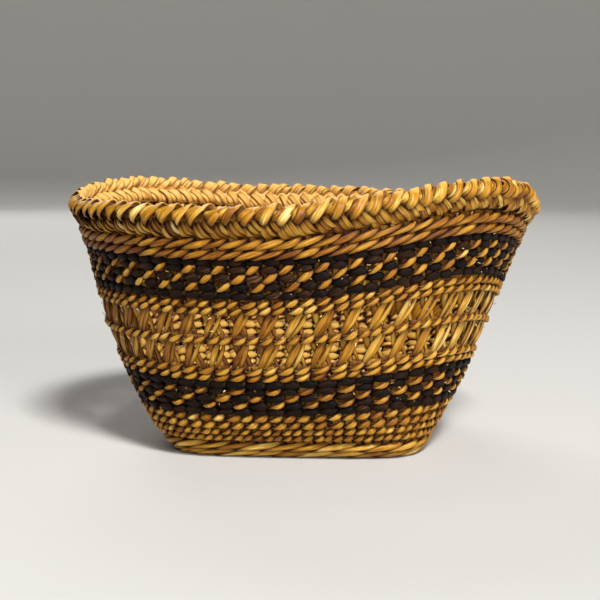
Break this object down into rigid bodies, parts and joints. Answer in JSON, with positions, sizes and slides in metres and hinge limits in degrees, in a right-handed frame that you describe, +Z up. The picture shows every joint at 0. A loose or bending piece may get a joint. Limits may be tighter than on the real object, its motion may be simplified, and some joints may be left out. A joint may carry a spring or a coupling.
{
  "type": "twined basket",
  "caption": "Small open twined basket with a plaited square base, a flaring wall with dark checked bands and openwork, and a braided rim.",
  "frame": {"origin": "middle of the square base, on the surface that the basket stands on", "axes": "+Z up, +X along the basket's longer way across the rim, +Y across it, both square to the base's sides"},
  "size_m": [0.1356, 0.1316, 0.0757],
  "materials": {
    "grass": "dry straw-coloured grass weft and warp, satin",
    "heavy_grass": "dry straw-coloured grass in thick twined and braided strands, satin",
    "dark_bark": "near-black dyed bark weft with straw stitches, dull satin",
    "base_bark": "flat brown cedar bark strips, dull"
  },
  "bodies": {
    "root": {"base_edge_cord": "heavy_grass", "base_strip_crosswise_1": "base_bark", "base_strip_crosswise_2": "base_bark", "base_strip_crosswise_3": "base_bark", "base_strip_crosswise_4": "base_bark", "base_strip_crosswise_5": "base_bark", "base_strip_crosswise_6": "base_bark", "base_strip_crosswise_7": "base_bark", "base_strip_crosswise_8": "base_bark", "base_strip_lengthwise_1": "base_bark", "base_strip_lengthwise_2": "base_bark", "base_strip_lengthwise_3": "base_bark", "base_strip_lengthwise_4": "base_bark", "base_strip_lengthwise_5": "base_bark", "base_strip_lengthwise_6": "base_bark", "base_strip_lengthwise_7": "base_bark", "base_strip_lengthwise_8": "base_bark", "fine_course_1": "grass", "fine_course_2": "grass", "lower_checked_course_1": "dark_bark", "lower_checked_course_2": "dark_bark", "lower_checked_course_3": "dark_bark", "lower_crossed_warps_a": "grass", "lower_crossed_warps_b": "grass", "lower_dark_course": "dark_bark", "lower_dark_top_course": "dark_bark", "lower_plain_course_1": "grass", "lower_plain_course_2": "grass", "middle_plain_course_1": "grass", "middle_plain_course_2": "grass", "openwork_tie_course": "grass", "ridge_course_1": "heavy_grass", "ridge_course_2": "heavy_grass", "rim_braid": "heavy_grass", "rim_braid_second": "heavy_grass", "rim_braid_third": "heavy_grass", "upper_checked_course_1": "dark_bark", "upper_checked_course_2": "dark_bark", "upper_checked_course_3": "dark_bark", "upper_crossed_warps_a": "grass", "upper_crossed_warps_b": "grass", "upper_dark_course": "dark_bark", "upper_dark_top_course": "dark_bark", "upper_plain_course_1": "grass", "upper_plain_course_2": "grass"}
  },
  "joints": []
}
